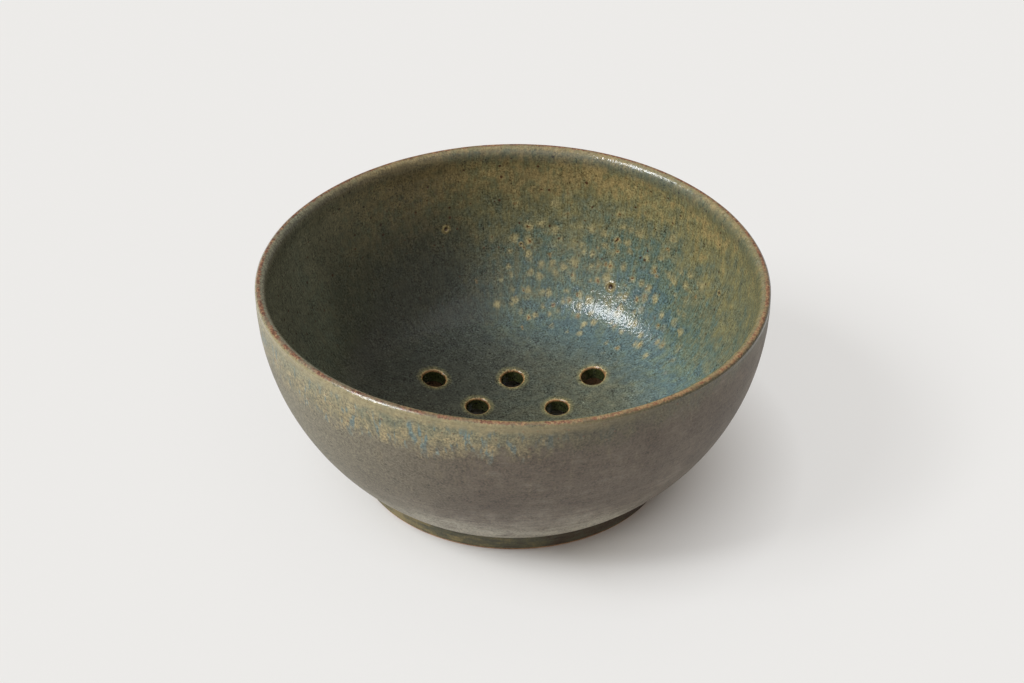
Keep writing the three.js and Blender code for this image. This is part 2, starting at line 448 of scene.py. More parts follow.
def points_of(mesh):
    """A mesh's points in mm, one to a row."""
    places = np.zeros(len(mesh.vertices) * 3, dtype=np.float32)
    mesh.vertices.foreach_get("co", places)
    return places.reshape(-1, 3) / MM


def mark(mesh, name, values):
    """Stores a measure on the points of a mesh, for its material to read."""
    layer = mesh.attributes.get(name) or mesh.attributes.new(name, "FLOAT", "POINT")
    layer.data.foreach_set("value", np.asarray(values, dtype=np.float32))


def section_mesh(points, way):
    """A line of (distance from the axis, height) points in mm, with each one's way from the crest."""
    edges = [(i, i + 1) for i in range(len(points) - 1)]
    mesh = mesh_from([(r * MM, 0.0, z * MM) for r, z in points], edges)
    mark(mesh, "from_crest", way)
    return mesh


def joined(*meshes):
    bm = bmesh.new()
    for mesh in meshes:
        bm.from_mesh(mesh)
    bmesh.ops.remove_doubles(bm, verts=bm.verts, dist=2e-6)
    mesh = bpy.data.meshes.new("working")
    bm.to_mesh(mesh)
    bm.free()
    return mesh


def pierced_floor(outer, hole, spacing, dish_radius):
    """A round floor in mm with the drain holes left open, its points on a dish of the given radius."""
    rings = [(0.0, 0.0, outer, STEPS)] + [(x, y, hole, HOLE_STEPS) for x, y in HOLES]
    points, edges = [], []
    for x, y, radius, count in rings:
        first = len(points)
        points += [on_round((x, y), radius, 2 * math.pi * i / count) for i in range(count)]
        edges += [(first + i, first + (i + 1) % count) for i in range(count)]
    # Between the rings the points lie in rows of even triangles, clear of the edges.
    margin = 0.6 * spacing
    rows = int(outer / spacing) + 1
    for j in range(-2 * rows, 2 * rows + 1):
        for i in range(-rows, rows + 1):
            x, y = (i + 0.5 * (j % 2)) * spacing, j * spacing * math.sqrt(3) / 2
            clear = all(math.hypot(x - a, y - b) > hole + margin for a, b in HOLES)
            if clear and math.hypot(x, y) < outer - margin:
                points.append((x, y))
    flat, _, faces, *_ = delaunay_2d_cdt([Vector(p) for p in points], edges, [], 0, 1e-7)
    kept = []
    for face in faces:
        x, y = (sum(flat[i][axis] for i in face) / 3 for axis in (0, 1))
        if all(math.hypot(x - a, y - b) > hole * 0.995 for a, b in HOLES):
            kept.append(tuple(face))
    x, y = (np.array([p[axis] for p in flat]) for axis in (0, 1))
    return mesh_from(np.stack([x, y, dish(x, y, dish_radius)], axis=1) * MM, faces=kept)


def place_piece(name, mesh, material, node):
    """Makes the finished object, smooth but for its creases, and puts it in the node's place."""
    bm = bmesh.new()
    bm.from_mesh(mesh)
    for edge in bm.edges:
        edge.smooth = len(edge.link_faces) != 2 or edge.calc_face_angle() < CREASE
    for face in bm.faces:
        face.smooth = True
    bm.to_mesh(mesh)
    bm.free()
    mesh.materials.clear()
    mesh.materials.append(material)
    mesh.name = name
    obj = bpy.data.objects.new(name, mesh)
    bpy.context.scene.collection.objects.link(obj)
    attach(obj, "root")
    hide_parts(node)


# Materials

# A bearing times this is the way round the wall in mm, at the wall's mean radius.
ROUND_WALL = 74.0
# Marks that ran while the glaze was molten are this many times longer down the wall than across.
RUN = 3.5
# Turning by this many degrees brings the seam of the rolled-out wall to the front left, where it isn't seen.
WALL_SEAM = -55.0
# Middles of the field of spots and of the painted shadow inside, a dark cloud where the left rim's shadow
# falls, in mm
SPOT_FIELD = (30.0, 60.0, 34.0)
RIM_SHADOW_MIDDLE = (-24.0, 44.0, 18.0)


def new_material(name):
    material = bpy.data.materials.new(name)
    material.use_nodes = True
    material.node_tree.nodes.clear()
    return material, material.node_tree


def surface(tree, colour, roughness, height, depth):
    """Ends a material: depth is how far, in mm, height 1 stands over height 0."""
    bump = add(tree, "ShaderNodeBump", {"Height": height, "Strength": 1.0, "Distance": depth * MM})
    sockets = {"Base Color": colour, "Roughness": roughness, "IOR": 1.5, "Normal": bump}
    add(tree, "ShaderNodeOutputMaterial", {"Surface": add(tree, "ShaderNodeBsdfPrincipled", sockets)})


def direction(degrees):
    return (math.cos(math.radians(degrees)), math.sin(math.radians(degrees)), 0.0)


def glaze_measures(tree):
    """Where a point is: place in mm, height, bearing from the axis, way from the crest (plus outside, minus
    inside), runs, a place squeezed down the wall so that a pattern read there is drawn out downwards, and
    wall, the wall rolled out flat with its seam at the front left."""
    n = partial(add, tree)
    place = n("ShaderNodeTexCoord").outputs["Object"]
    mm = n("ShaderNodeVectorMath", {0: place, "Scale": 1 / MM}, operation="SCALE").outputs["Vector"]
    split = n("ShaderNodeSeparateXYZ", {0: mm}).outputs
    flat = n("ShaderNodeCombineXYZ", {"X": split["X"], "Y": split["Y"]})
    bearing = n("ShaderNodeVectorMath", {0: flat}, operation="NORMALIZE").outputs["Vector"]
    way = n("ShaderNodeAttribute", attribute_name="from_crest").outputs["Fac"]
    fall = n("ShaderNodeMath", {0: way, 1: 1 / RUN}, operation="MULTIPLY")
    fall = n("ShaderNodeCombineXYZ", {"Z": fall})
    runs = n("ShaderNodeVectorMath", {0: bearing, 1: (ROUND_WALL,) * 3, 2: fall}, operation="MULTIPLY_ADD")
    seam = math.radians(WALL_SEAM)
    turned = n("ShaderNodeVectorRotate", {"Vector": flat, "Angle": seam}, rotation_type="Z_AXIS")
    turned = n("ShaderNodeSeparateXYZ", {0: turned}).outputs
    angle = n("ShaderNodeMath", {0: turned["Y"], 1: turned["X"]}, operation="ARCTAN2")
    angle = n("ShaderNodeMath", {0: angle, 1: ROUND_WALL}, operation="MULTIPLY")
    wall = n("ShaderNodeCombineXYZ", {"X": angle, "Y": way}).outputs["Vector"]
    runs = runs.outputs["Vector"]
    return SimpleNamespace(mm=mm, z=split["Z"], bearing=bearing, way=way, runs=runs, wall=wall)


def mottle(tree, place, size, detail=2.0):
    """Patches of a size in mm, from -1 to 1 about a mean of 0."""
    n = partial(add, tree)
    sockets = {"Vector": place, "Scale": 1 / size, "Detail": detail, "Roughness": 0.6}
    noise = n("ShaderNodeTexNoise", sockets)
    return n("ShaderNodeMapRange", {"Value": noise, "From Min": 0.25, "From Max": 0.75, "To Min": -1.0})


def weighed(tree, start, *parts):
    """A start value plus parts, each with its weight."""
    for part, weight in parts:
        start = add(tree, "ShaderNodeMath", {0: part, 1: weight, 2: start}, operation="MULTIPLY_ADD")
    return start


def dots(tree, place, spacing, low, high, dimensions="2D"):
    """Round dots in cells of a spacing in mm, low to high of a cell in radius: on a flat place, or through
    the clay if in 3D."""
    n = partial(add, tree)
    cell = n("ShaderNodeTexVoronoi", {"Vector": place, "Scale": 1 / spacing}, voronoi_dimensions=dimensions)
    reach = n("ShaderNodeMapRange", {"Value": cell.outputs["Color"], "To Min": low, "To Max": high})
    inside = n("ShaderNodeMath", {0: reach, 1: cell.outputs["Distance"]}, operation="SUBTRACT")
    return n("ShaderNodeMapRange", {"Value": inside, "From Max": 0.04})


def towards(tree, at, degrees):
    """How far a point lies towards a bearing, from -1 at the far lip to 1 at the near one."""
    n = partial(add, tree)
    dot = n("ShaderNodeVectorMath", {0: at.mm, 1: direction(degrees)}, operation="DOT_PRODUCT")
    return n("ShaderNodeMath", {0: dot.outputs["Value"], 1: 1 / OUTER_RADIUS}, operation="MULTIPLY")


def laid(tree, under, over, measure, start=0.0, end=1.0, share=1.0, masks=(), ease="LINEAR"):
    """Lays a colour over another as a measure goes from start to end, up to a share, where masks let it."""
    n = partial(add, tree)
    under, over = (linear(colour) if isinstance(colour, str) else colour for colour in (under, over))
    reach = {"Value": measure, "From Min": start, "From Max": end, "To Max": share}
    amount = n("ShaderNodeMapRange", reach, interpolation_type=ease)
    for mask in masks:
        amount = n("ShaderNodeMath", {0: amount, 1: mask}, operation="MULTIPLY")
    return n("ShaderNodeMix", {"Factor": amount, "A": under, "B": over}, data_type="RGBA")


def inside_look(tree, at):
    """Colour, roughness and height of the inside glaze."""
    n = partial(add, tree)
    deep = n("ShaderNodeMath", {0: at.way, 1: -1.0}, operation="MULTIPLY")
    cloud, patch, uneven = (mottle(tree, at.mm, size) for size in (24, 3.6, 7))
    # The surface's fine pebbles, drawn about 1 mm wide so that they show
    pebbles = mottle(tree, at.mm, 1.0, 1.0)
    # The grain comes and goes in patches.
    strength = n("ShaderNodeMapRange", {"Value": uneven, "From Min": -0.7, "From Max": 0.7, "To Min": 0.35})
    grain = n("ShaderNodeMath", {0: mottle(tree, at.mm, 0.6, 3.0), 1: strength}, operation="MULTIPLY")
    # Only what lies on the steep wall ran.
    steep = n("ShaderNodeMapRange", {"Value": deep, "From Min": 78.0, "From Max": 56.0})
    runs = n("ShaderNodeMath", {0: mottle(tree, at.runs, 1.6), 1: steep}, operation="MULTIPLY")
    streaks = n("ShaderNodeMath", {0: mottle(tree, at.runs, 0.6), 1: steep}, operation="MULTIPLY")
    right = towards(tree, at, 5)
    # It lies thickest, and most broken by spots, in a field on the back right below the lip.
    field = n("ShaderNodeVectorMath", {0: at.mm, 1: SPOT_FIELD}, operation="DISTANCE").outputs["Value"]
    field = n(
        "ShaderNodeMapRange",
        {"Value": weighed(tree, field, (cloud, 6.0)), "From Min": 56.0, "From Max": 18.0},
        interpolation_type="SMOOTHSTEP",
    )
    below_lip = n("ShaderNodeMapRange", {"Value": deep, "From Min": 12.0, "From Max": 32.0})
    field = n("ShaderNodeMath", {0: field, 1: below_lip}, operation="MULTIPLY")

    # How thick it lies: thin and tan on the high wall, pooled and blue below, most so at the back right
    fall = {"Value": deep, "From Min": 12.0, "From Max": 72.0, "To Min": 0.05, "To Max": 0.6}
    thick = weighed(
        tree,
        n("ShaderNodeMapRange", fall),
        (cloud, 0.14),
        (patch, 0.17),
        (grain, 0.08),
        (right, 0.17),
        (field, 0.16),
        (runs, 0.13),
        (streaks, 0.06),
    )
    colour = n(
        "ShaderNodeValToRGB",
        {0: thick},
        stops=[
            (0.0, "#a08c5d"),
            (0.2, "#827c56"),
            (0.4, "#71735a"),
            (0.56, "#617061"),
            (0.74, "#576c6b"),
            (1.0, "#4a6167"),
        ],
    )
    # On the floor it lies level and fired to a duller grey green.
    dull = n("ShaderNodeValToRGB", {0: thick}, stops=[(0.3, "#79735a"), (0.9, "#565d4f")])
    colour = laid(tree, colour, dull, deep, 66.0, 82.0, 0.85)
    # Greyer on the left side
    colour = laid(tree, colour, "#727b70", towards(tree, at, 190), 0.3, 0.8, 0.8)
    # Painted shadow: a dark cloud low at the back left, where the left rim's shadow falls, clear of the field
    rim_shadow = n("ShaderNodeVectorMath", {0: at.mm, 1: RIM_SHADOW_MIDDLE}, operation="DISTANCE").outputs["Value"]
    rim_shadow = weighed(tree, rim_shadow, (cloud, 10.0))
    clear = n("ShaderNodeMapRange", {"Value": field, "To Min": 1.0, "To Max": 0.2})
    colour = laid(tree, colour, "#383d37", rim_shadow, 84.0, 22.0, 0.92, [clear], "SMOOTHSTEP")

    # Tan spots where gas broke through the pooled glaze, on wandering places, some with an iron heart
    wander = n("ShaderNodeTexNoise", {"Vector": at.mm, "Scale": 1 / 2, "Detail": 1.0}).outputs["Color"]
    wander = n("ShaderNodeVectorMath", {0: wander, 1: (0.5,) * 3}, operation="SUBTRACT")
    spot_at = n("ShaderNodeVectorMath", {0: wander, 1: (2.2,) * 3, 2: at.wall}, operation="MULTIPLY_ADD")
    cell = n("ShaderNodeTexVoronoi", {"Vector": spot_at, "Scale": 1 / 4.5}, voronoi_dimensions="2D").outputs
    chance = n("ShaderNodeSeparateXYZ", {0: cell["Color"]}).outputs
    reach = n("ShaderNodeMapRange", {"Value": chance["X"], "To Min": 0.3, "To Max": 0.56})
    within = n("ShaderNodeMath", {0: reach, 1: cell["Distance"]}, operation="SUBTRACT")
    spot = n("ShaderNodeMapRange", {"Value": within, "From Max": 0.42}, interpolation_type="SMOOTHSTEP")
    beneath = n("ShaderNodeMapRange", {"Value": deep, "From Min": 72.0, "From Max": 58.0, "To Min": 0.1})
    there = n("ShaderNodeMath", {0: field, 1: beneath}, operation="MULTIPLY")
    there = n("ShaderNodeMath", {0: there, 1: chance["Y"]}, operation="SUBTRACT")
    there = n("ShaderNodeMapRange", {"Value": there, "From Min": 0.02, "From Max": 0.25})
    spot = n("ShaderNodeMath", {0: spot, 1: there}, operation="MULTIPLY")
    colour = laid(tree, colour, "#9b9067", spot, share=0.8)
    chosen = n("ShaderNodeMapRange", {"Value": chance["Z"], "From Min": 0.7, "From Max": 0.76})
    for code, start, end, share in (("#a37a45", 0.2, 0.08, 0.4), ("#563722", 0.1, 0.06, 0.9)):
        colour = laid(tree, colour, code, cell["Distance"], start, end, share, [chosen, there])

    # Iron specks, most on the high wall, and pale crystals in the pooled glaze
    speck_at = n("ShaderNodeVectorMath", {0: wander, 1: (0.7,) * 3, 2: at.wall}, operation="MULTIPLY_ADD")
    high = {"Value": deep, "From Min": 60.0, "From Max": 30.0, "To Min": 0.1, "To Max": 0.9}
    high = n("ShaderNodeMapRange", high)
    colour = laid(tree, colour, "#472a1c", dots(tree, speck_at, 4.2, -0.1, 0.16), masks=[high])
    low = n("ShaderNodeMapRange", {"Value": deep, "From Min": 45.0, "From Max": 75.0, "To Max": 0.5})
    colour = laid(tree, colour, "#8d9482", dots(tree, at.mm, 2.4, -0.15, 0.14), masks=[low])

    # The glaze draws back from each hole's edge: a faint yellow-green halo, a thin tan ring with a brown
    # edge, and dark glaze down the bore, darkened further as painted shade in the hole. Burst bubbles have a
    # tan rim round a dark pit.
    near = n("ShaderNodeAttribute", attribute_name="near_hole").outputs["Fac"]
    pit = n("ShaderNodeAttribute", attribute_name="pit").outputs["Fac"]
    ragged = weighed(tree, near, (patch, 0.1), (grain, 0.06))
    for code, measure, start, end, share in (
        ("#868055", ragged, 0.4, 0.9, 0.65),
        ("#a98f62", ragged, 0.8, 0.92, 1.0),
        ("#7d5433", ragged, 0.93, 1.0, 0.8),
        ("#33371f", near, 1.05, 1.2, 1.0),
        ("#948459", pit, 0.35, 0.6, 0.8),
        ("#3c2b1c", pit, 0.72, 0.84, 1.0),
    ):
        colour = laid(tree, colour, code, measure, start, end, share)

    # The floor is more mottled than the wall. It is paler towards the right, partly in the glaze and partly
    # painted light: the left of the floor lies in the left rim's shadow.
    lumps = weighed(tree, mottle(tree, at.mm, 2.4), (grain, 0.8))
    lumps = n("ShaderNodeMath", {0: lumps, 1: low}, operation="MULTIPLY")
    right_floor = n("ShaderNodeMath", {0: right, 1: low}, operation="MULTIPLY")
    shades = ((grain, 1.0), (streaks, 0.36), (patch, -0.1), (lumps, 0.55), (right_floor, 0.5))
    light = weighed(tree, 1.0, *shades)
    colour = n("ShaderNodeVectorMath", {0: colour, "Scale": light}, operation="SCALE").outputs["Vector"]
    roughness = n("ShaderNodeMapRange", {"Value": grain, "From Min": -1.0, "To Min": 0.12, "To Max": 0.28})
    height = weighed(tree, 0.0, (pebbles, 1.25), (grain, 0.4), (patch, 0.6), (spot, -1.0))
    return colour, roughness, height


def outside_look(tree, at):
    """Colour, roughness and height of the outside: a thin matt coat, and a second dip from the lip down that
    ran."""
    n = partial(add, tree)
    cloud, patch, blots = (mottle(tree, at.mm, size, 3.0) for size in (18, 4.5, 1.7))
    drips, flecks = mottle(tree, at.runs, 5.0, 3.0), mottle(tree, at.runs, 1.9)
    left = towards(tree, at, 200)
    # Turning lines: long round the wall and about 0.8 mm high
    line_at = {0: at.bearing, 1: (2.0, 2.0, 0.0), 2: n("ShaderNodeCombineXYZ", {"Z": at.z})}
    line_at = n("ShaderNodeVectorMath", line_at, operation="MULTIPLY_ADD")
    # The lines and the grain come and go in patches, and the grain is strongest low down.
    strength = n("ShaderNodeMapRange", {"Value": patch, "From Min": -0.7, "From Max": 0.7, "To Min": 0.5})
    lines = n("ShaderNodeMath", {0: mottle(tree, line_at, 0.8), 1: strength}, operation="MULTIPLY")
    grit = {"Value": at.z, "From Min": 26.0, "From Max": 13.0, "To Min": 1.0, "To Max": 1.7}
    grain = n("ShaderNodeMath", {0: mottle(tree, at.mm, 0.7, 3.0), 1: strength}, operation="MULTIPLY")
    grain = n("ShaderNodeMath", {0: grain, 1: n("ShaderNodeMapRange", grit)}, operation="MULTIPLY")

    # The thin coat: grey low down, browner above, paler and greener towards the left, and painted shade low
    # on the right, darker and browner on the side away from the softbox
    base = n("ShaderNodeMapRange", {"Value": at.z, "From Min": 12.5, "From Max": 36.0, "To Max": 0.8})
    shades = ((cloud, 0.22), (patch, 0.14), (blots, 0.1), (grain, 0.15), (lines, 0.22), (left, 0.05))
    # Painted shade: darker and browner low on the right, away from the softbox
    low = n("ShaderNodeMapRange", {"Value": at.z, "From Min": 34.0, "From Max": 14.0, "To Max": 0.6})
    right = n("ShaderNodeMapRange", {"Value": towards(tree, at, 330), "From Min": 0.66, "From Max": 0.78})
    tone = weighed(tree, base, *shades, (low, right))
    stops = [(0.0, "#aca696"), (0.3, "#8a8375"), (0.65, "#695f52"), (1.0, "#584e42")]
    thin = n("ShaderNodeValToRGB", {0: tone}, stops=stops)
    thin = laid(tree, thin, "#8f8a75", left, 0.45, 0.95, 0.75)

    # The second dip hangs lowest at the front left and fades out in blotches.
    edge = weighed(tree, 8.2, (left, 6.6), (drips, 3.0), (blots, 2.5), (patch, 3.0))
    over = n("ShaderNodeMath", {0: edge, 1: at.way}, operation="SUBTRACT")
    fade = {"Value": over, "From Min": -5.0, "From Max": 4.0}
    over = n("ShaderNodeMapRange", fade, interpolation_type="SMOOTHSTEP")
    lower = {"Value": at.way, "From Min": 1.0, "From Max": 9.0, "To Min": 0.38, "To Max": 0.6}
    lower = n("ShaderNodeMapRange", lower)
    hue = weighed(tree, lower, (patch, 0.22), (blots, 0.15), (drips, 0.2), (grain, 0.07))
    stops = [(0.1, "#626b5a"), (0.35, "#7a7b63"), (0.6, "#918868"), (0.9, "#a6956f")]
    dip = n("ShaderNodeValToRGB", {0: hue}, stops=stops)
    # Blue where it gathered, in flecks about 2 mm wide
    gathered = weighed(tree, 0.0, (flecks, 1.0), (drips, 0.5))
    below_lip = n("ShaderNodeMapRange", {"Value": at.way, "From Min": 2.0, "From Max": 5.0})
    dip = laid(tree, dip, "#5c7b80", gathered, 0.2, 0.6, 0.75, [below_lip])
    # Pale green close under the lip on the left, dull on the right
    close = n("ShaderNodeMapRange", {"Value": at.way, "From Min": 10.0, "From Max": 3.0})
    dip = laid(tree, dip, "#a5a084", left, 0.6, 0.95, 0.5, [close])
    dip = laid(tree, dip, "#575240", left, 0.5, 0.1, 0.9)
    # Tan flecks of it lie scattered below the edge, fewer on the right.
    reach = n("ShaderNodeMapRange", {"Value": at.way, "From Min": 36.0, "From Max": 14.0})
    fewer = n("ShaderNodeMapRange", {"Value": left, "From Min": -0.3, "From Max": 0.3, "To Min": 0.3})
    thin = laid(tree, thin, "#8f8468", flecks, 0.25, 0.7, 0.3, [reach, fewer])
    colour = laid(tree, thin, dip, over)
    # Iron specks, most of them in the dip
    share = n("ShaderNodeMapRange", {"Value": over, "To Min": 0.1, "To Max": 0.6})
    colour = laid(tree, colour, "#6e4837", dots(tree, at.wall, 3.2, -0.1, 0.18), masks=[share])
    # A painted reflection: a pale line on the turned edge above the foot, where the rounded edge catches the
    # bright floor and light.
    colour = laid(tree, colour, "#968d7c", at.z, 8.4, 7.4, 0.6)

    light = weighed(tree, 1.0, (grain, 0.75), (blots, 0.16), (lines, 0.06), (left, -0.1))
    colour = n("ShaderNodeVectorMath", {0: colour, "Scale": light}, operation="SCALE").outputs["Vector"]
    roughness = n("ShaderNodeMapRange", {"Value": over, "To Min": 0.55, "To Max": 0.42})
    height = weighed(tree, 0.0, (grain, 1.0), (lines, 0.5), (over, 0.6))
    return colour, roughness, height


def bare_fired_stoneware():
    """Iron-bearing stoneware, wiped bare and fired: warm tan, dry and matt, with gritty dark grains."""
    material, tree = new_material("bare_fired_stoneware")
    at = glaze_measures(tree)
    grit = mottle(tree, at.mm, 0.6, 3.0)
    tone = weighed(tree, 0.5, (mottle(tree, at.mm, 4), 0.25), (grit, 0.35))
    stops = [(0.1, "#8a644b"), (0.5, "#b38d6b"), (0.9, "#cdaa88")]
    colour = add(tree, "ShaderNodeValToRGB", {0: tone}, stops=stops)
    colour = laid(tree, colour, "#4a2f22", dots(tree, at.mm, 3.0, 0.06, 0.2, "3D"))
    surface(tree, colour, 0.85, grit, 0.05)
    return material


def poured_rutile_glaze():
    """Rutile and iron stoneware glaze, poured in and melted in the kiln: satin, finely pebbled, olive tan
    where it is thin, blue-green where it pooled, broken by tan spots and iron specks."""
    material, tree = new_material("poured_rutile_glaze")
    surface(tree, *inside_look(tree, glaze_measures(tree)), 0.028)
    return material


def thin_matt_iron_glaze():
    """The same glaze brushed on thin: matt, dry and grey brown, with a fine grain and turning lines."""
    material, tree = new_material("thin_matt_iron_glaze")
    surface(tree, *outside_look(tree, glaze_measures(tree)), 0.04)
    return material


def glaze_breaking_on_lip():
    """Where the glazes meet over the lip. Molten glaze leaves a sharp edge, so the iron clay shows red brown
    along the crest; the roll inside it is pale, and the glaze pools blue in the groove below."""
    material, tree = new_material("glaze_breaking_on_lip")
    n = partial(add, tree)
    at = glaze_measures(tree)
    within, without = inside_look(tree, at), outside_look(tree, at)
    side = n("ShaderNodeMapRange", {"Value": at.way, "From Min": -0.6, "From Max": 0.6})
    colour, roughness, height = (
        n("ShaderNodeMix", {"Factor": side, "A": inner, "B": outer}, data_type=kind)
        for inner, outer, kind in zip(within, without, ("RGBA", "FLOAT", "FLOAT"))
    )
    patch, fine = mottle(tree, at.mm, 4.0), mottle(tree, at.mm, 0.8)

    # The roll just inside the crest is pale; most so at the back right, where the extra paleness is a painted
    # highlight on the side of the roll that faces the softbox.
    roll = weighed(tree, at.way, (patch, 1.0), (fine, 0.4))
    outer = {"Value": roll, "From Min": 0.6, "From Max": -0.2}
    outer = n("ShaderNodeMapRange", outer, interpolation_type="SMOOTHSTEP")
    right = towards(tree, at, 45)
    share = {"Value": right, "From Min": -0.2, "From Max": 0.8, "To Min": 0.15, "To Max": 0.55}
    share = n("ShaderNodeMapRange", share)
    pale_roll_and_sheen = n("ShaderNodeValToRGB", {0: fine}, stops=[(0.0, "#857a5c"), (0.6, "#a0957a")])
    colour = laid(tree, colour, pale_roll_and_sheen, roll, -2.6, -1.5, 1.0, [outer, share], "SMOOTHSTEP")

    # Outside the crest, at the front and left, a smooth pale strip, partly the glaze and partly a painted
    # highlight where the worn bevel catches the softbox
    pale_strip_and_sheen = weighed(tree, at.way, (patch, 0.9), (fine, 0.4))
    lower = {"Value": pale_strip_and_sheen, "From Min": 5.2, "From Max": 2.4}
    lower = n("ShaderNodeMapRange", lower, interpolation_type="SMOOTHSTEP")
    near = {"Value": towards(tree, at, 238), "From Min": 0.4, "From Max": 0.85, "To Max": 0.5}
    near = n("ShaderNodeMapRange", near)
    colour = laid(tree, colour, "#a6966e", pale_strip_and_sheen, 0.3, 0.9, 1.0, [lower, near])

    # Under the roll the glaze lies thicker, olive, and blue at the back. The band is also painted shade in
    # the groove under the roll, darkest on the left, where the inside lies in the left rim's shadow.
    groove = weighed(tree, at.way, (patch, 0.6), (fine, 0.3))
    upper = {"Value": groove, "From Min": -1.6, "From Max": -2.8}
    upper = n("ShaderNodeMapRange", upper, interpolation_type="SMOOTHSTEP")
    shade = laid(tree, "#5f6148", "#4d6063", towards(tree, at, 75), 0.2, 0.9)
    shade = laid(tree, shade, "#3f3e37", towards(tree, at, 160), 0.2, 0.8)
    colour = laid(tree, colour, shade, groove, -8.0, -3.8, 0.45, [upper], "SMOOTHSTEP")

    # The bare crest, about 1 mm wide and broken: red brown, but tan with brown nicks at the front right
    line = weighed(tree, at.way, (fine, 0.45))
    line = n("ShaderNodeMath", {0: line}, operation="ABSOLUTE")
    broken = {"Value": patch, "From Min": -0.5, "From Max": 0.1, "To Min": 0.35, "To Max": 0.9}
    broken = n("ShaderNodeMapRange", broken)
    front = n("ShaderNodeMapRange", {"Value": towards(tree, at, 315), "From Min": 0.45, "From Max": 0.95})
    tone = weighed(tree, 0.3, (mottle(tree, at.mm, 0.9), 0.5), (front, 0.3))
    stops = [(0.1, "#5a3529"), (0.4, "#8b5b46"), (0.75, "#b1946a")]
    bare = n("ShaderNodeValToRGB", {0: tone}, stops=stops)
    colour = laid(tree, colour, bare, line, 0.95, 0.45, 1.0, [broken])
    # Glossy along the edge
    glossy = n("ShaderNodeMath", {0: at.way}, operation="ABSOLUTE")
    glossy = n("ShaderNodeMapRange", {"Value": glossy, "From Min": 2.8, "From Max": 1.6})
    roughness = n("ShaderNodeMix", {"Factor": glossy, "A": roughness, "B": 0.16}, data_type="FLOAT")
    surface(tree, colour, roughness, height, 0.02)
    return material


def pooled_foot_glaze_and_shade():
    """The outside glaze where it ran thick on the foot: dark and glossy, green and brown in level streaks.
    Part of the dark is painted shade under the wall, deepest on the right, and the left is painted lighter
    where the softbox falls.
    """
    material, tree = new_material("pooled_foot_glaze_and_shade")
    n = partial(add, tree)
    at = glaze_measures(tree)
    level = n("ShaderNodeCombineXYZ", {"Z": at.z})
    level = n("ShaderNodeVectorMath", {0: at.bearing, 1: (9.0, 9.0, 0.0), 2: level}, operation="MULTIPLY_ADD")
    streaks, cloud = mottle(tree, level, 1.1, 3.0), mottle(tree, at.mm, 14)
    grain, left = mottle(tree, at.mm, 0.7), towards(tree, at, 200)
    # Painted light and shade: the tone rises towards the left, where the softbox falls, and the right stays
    # dark.
    tone = weighed(tree, 0.45, (streaks, 0.3), (cloud, 0.25), (grain, 0.14), (left, 0.62))
    stops = [(0.1, "#33281f"), (0.35, "#4c4030"), (0.55, "#50513f"), (0.75, "#655f44"), (0.95, "#857850")]
    colour = n("ShaderNodeValToRGB", {0: tone}, stops=stops)
    surface(tree, colour, 0.38, grain, 0.04)
    return material


def sponged_thin_glaze():
    """A thin wash of glaze under the floor, wiped with a sponge: uneven, matt, the clay's warmth showing."""
    material, tree = new_material("sponged_thin_glaze")
    at = glaze_measures(tree)
    grain = mottle(tree, at.mm, 0.8)
    tone = weighed(tree, 0.5, (mottle(tree, at.mm, 14, 4.0), 0.45), (grain, 0.15))
    stops = [(0.1, "#75604a"), (0.4, "#6d634f"), (0.7, "#646858"), (0.95, "#5a6964")]
    colour = add(tree, "ShaderNodeValToRGB", {0: tone}, stops=stops)
    colour = laid(tree, colour, "#4a2f22", dots(tree, at.mm, 4.0, 0.02, 0.14))
    surface(tree, colour, 0.55, grain, 0.04)
    return material


# Pieces
thrown = (HAND, HAND_OF_THE_THROWER)
clay = bare_fired_stoneware()


def turned_piece(points, way, steps=STEPS, wall=0.0, more=()):
    return shaped(section_mesh(points, way), (TURNED, {"Steps Around": steps}), *more, thrown, wall=wall)


# Each coat's way from the crest carries on from the rim's, so the glazes run on over the joints.
lip = lip_curve(0.0, 5)
lip_way = way_along(lip)
crest = max(range(len(lip)), key=lambda i: lip[i][1])
lip_outside, lip_inside = lip_way[crest], lip_way[-1] - lip_way[crest]

# The clay under the coats
under_reach = math.acos(FOOT_INNER / (FLOOR_DISH + FLOOR_THICKNESS))
core = arc(dish_centre, FLOOR_DISH + FLOOR_THICKNESS - GLAZE, DOWN, -under_reach, 8)
core += [(FOOT_INNER, FOOT_HEIGHT)]
core += wall_curve(GLAZE, 2) + lip_curve(GLAZE, 2)[1:] + inner_curve(GLAZE, 2)[1:]
core[0], core[-1] = (0.0, core[0][1]), (0.0, core[-1][1])
hole_points = bpy.data.objects.new("hole_points", mesh_from([(x * MM, y * MM, 0.0) for x, y in HOLES]))
bpy.context.scene.collection.objects.link(hole_points)
pins = {"Holes": hole_points, "Radius": (HOLE_RADIUS + GLAZE) * MM, "Length": 2 * LIP_HEIGHT * MM}
body = turned_piece(core, way_along(core), steps=CLAY_STEPS, more=[(PIERCED, pins)])
place_piece("thrown_body", body, clay, "bowl_body")

# Foot ring, its bare edges worn round
foot_clay = FOOT_RADIUS - GLAZE
ring = (
    [(FOOT_INNER, FOOT_HEIGHT)]
    + arc((FOOT_INNER + FOOT_ROUND, FOOT_ROUND), FOOT_ROUND, math.pi, 1.5 * math.pi, 5)
    + arc((foot_clay - FOOT_ROUND, FOOT_ROUND), FOOT_ROUND, DOWN, 0.0, 5)
    + [(foot_clay, FOOT_HEIGHT), (FOOT_INNER, FOOT_HEIGHT)]
)
place_piece("turned_foot", turned_piece(ring, way_along(ring)), clay, "foot_ring")

# Inside coat: wall, floor and the collars that line the drain holes
full = inner_curve(0.0, 6)
full_way = way_along(full)
